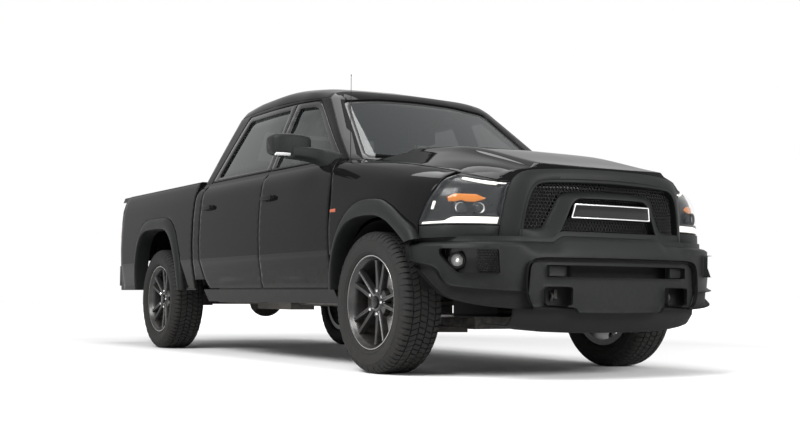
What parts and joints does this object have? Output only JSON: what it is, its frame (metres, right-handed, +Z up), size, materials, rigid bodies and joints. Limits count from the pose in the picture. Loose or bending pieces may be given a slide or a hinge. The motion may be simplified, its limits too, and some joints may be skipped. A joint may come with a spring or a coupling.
{
  "type": "crew cab pickup truck",
  "caption": "Crew cab pickup truck with steered rolling wheels, swinging doors, lifting hood, dropping tailgate, glazed cabin with seats and an open load bed.",
  "frame": {"origin": "on the ground, half way along and across the truck", "axes": "+X forward, +Y to the truck's left, +Z up"},
  "size_m": [5.817, 2.57, 1.965],
  "materials": {
    "tyre": "rubber",
    "rim": "satin black",
    "steel": "bare",
    "cast": "rough",
    "chassis_black": "semi-gloss black",
    "body_paint": "gloss black",
    "trim": "textured",
    "gloss_trim": "gloss",
    "glass": "tinted",
    "lens": "clear",
    "red_lens": "gloss",
    "cloth": "woven",
    "interior": "grained",
    "tank": "smooth",
    "alloy": "cast"
  },
  "bodies": {
    "chassis": {"ladder_frame": "chassis_black", "front_suspension": "cast", "rear_axle": "cast", "powertrain": "alloy", "exhaust": "steel", "fuel_tank": "tank", "spare_wheel": "tyre", "cab_floor": "body_paint", "cab_shell": "body_paint", "screens": "glass", "front_fenders": "body_paint", "front_structure": "chassis_black", "lamps": "gloss_trim", "lamp_lenses": "lens", "front_bumper": "trim", "cowl": "trim", "wheel_arches": "trim", "bed_sides": "body_paint", "bed_tub": "body_paint", "rear_bumper": "trim", "hitch_receiver": "chassis_black", "seats": "cloth", "dashboard": "interior"},
    "knuckle_right": {"knuckle_right": "cast"},
    "front_door_right": {"front_door_right": "body_paint", "front_door_glass_right": "glass", "mirror_right": "trim"},
    "rear_door_right": {"rear_door_right": "body_paint", "rear_door_glass_right": "glass"},
    "wheel_front_right": {"tyre_front_right": "tyre", "rim_front_right": "rim"},
    "wheel_rear_right": {"tyre_rear_right": "tyre", "rim_rear_right": "rim"},
    "knuckle_left": {"knuckle_left": "cast"},
    "front_door_left": {"front_door_left": "body_paint", "front_door_glass_left": "glass", "mirror_left": "trim"},
    "rear_door_left": {"rear_door_left": "body_paint", "rear_door_glass_left": "glass"},
    "wheel_front_left": {"tyre_front_left": "tyre", "rim_front_left": "rim"},
    "wheel_rear_left": {"tyre_rear_left": "tyre", "rim_rear_left": "rim"},
    "steering_rack": {"steering_rack": "steel"},
    "hood": {"hood_panel": "body_paint", "grille": "trim"},
    "tailgate": {"tailgate": "body_paint"}
  },
  "joints": [
    {"name": "steer_right", "type": "hinge", "parent": "chassis", "child": "knuckle_right", "pos_m": [1.892, -0.78, 0.4075], "axis": [0, 0, 1], "range_deg": [-35, 35]},
    {"name": "steer_left", "type": "hinge", "parent": "chassis", "child": "knuckle_left", "pos_m": [1.892, 0.78, 0.4075], "axis": [0, 0, 1], "range_deg": [-35, 35]},
    {"name": "rack_slide", "type": "slide", "parent": "chassis", "child": "steering_rack", "axis": [0, 1, 0], "range_m": [-0.08, 0.08]},
    {"name": "roll_front_right", "type": "hinge", "parent": "knuckle_right", "child": "wheel_front_right", "pos_m": [1.892, -0.866, 0.4075], "axis": [0, 1, 0], "continuous": true},
    {"name": "roll_rear_right", "type": "hinge", "parent": "chassis", "child": "wheel_rear_right", "pos_m": [-1.677, -0.857, 0.4075], "axis": [0, 1, 0], "continuous": true},
    {"name": "front_door_right_hinge", "type": "hinge", "parent": "chassis", "child": "front_door_right", "pos_m": [1.44, -1.002, 0.9], "axis": [0, 0, 1], "range_deg": [0, 65]},
    {"name": "rear_door_right_hinge", "type": "hinge", "parent": "chassis", "child": "rear_door_right", "pos_m": [0.43, -1.002, 0.9], "axis": [0, 0, 1], "range_deg": [0, 70]},
    {"name": "roll_front_left", "type": "hinge", "parent": "knuckle_left", "child": "wheel_front_left", "pos_m": [1.892, 0.866, 0.4075], "axis": [0, 1, 0], "continuous": true},
    {"name": "roll_rear_left", "type": "hinge", "parent": "chassis", "child": "wheel_rear_left", "pos_m": [-1.677, 0.857, 0.4075], "axis": [0, 1, 0], "continuous": true},
    {"name": "front_door_left_hinge", "type": "hinge", "parent": "chassis", "child": "front_door_left", "pos_m": [1.44, 1.002, 0.9], "axis": [0, 0, -1], "range_deg": [0, 65]},
    {"name": "rear_door_left_hinge", "type": "hinge", "parent": "chassis", "child": "rear_door_left", "pos_m": [0.43, 1.002, 0.9], "axis": [0, 0, -1], "range_deg": [0, 70]},
    {"name": "hood_hinge", "type": "hinge", "parent": "chassis", "child": "hood", "pos_m": [1.44, 0, 1.268], "axis": [0, -1, 0], "range_deg": [0, 55]},
    {"name": "tailgate_hinge", "type": "hinge", "parent": "chassis", "child": "tailgate", "pos_m": [-2.725, 0, 0.76], "axis": [0, -1, 0], "range_deg": [0, 90]}
  ],
  "couplings": [
    {"joint": "steer_right", "follows": "steer_left", "ratio": 1},
    {"joint": "rack_slide", "follows": "steer_left", "m_per_rad": 0.125}
  ]
}
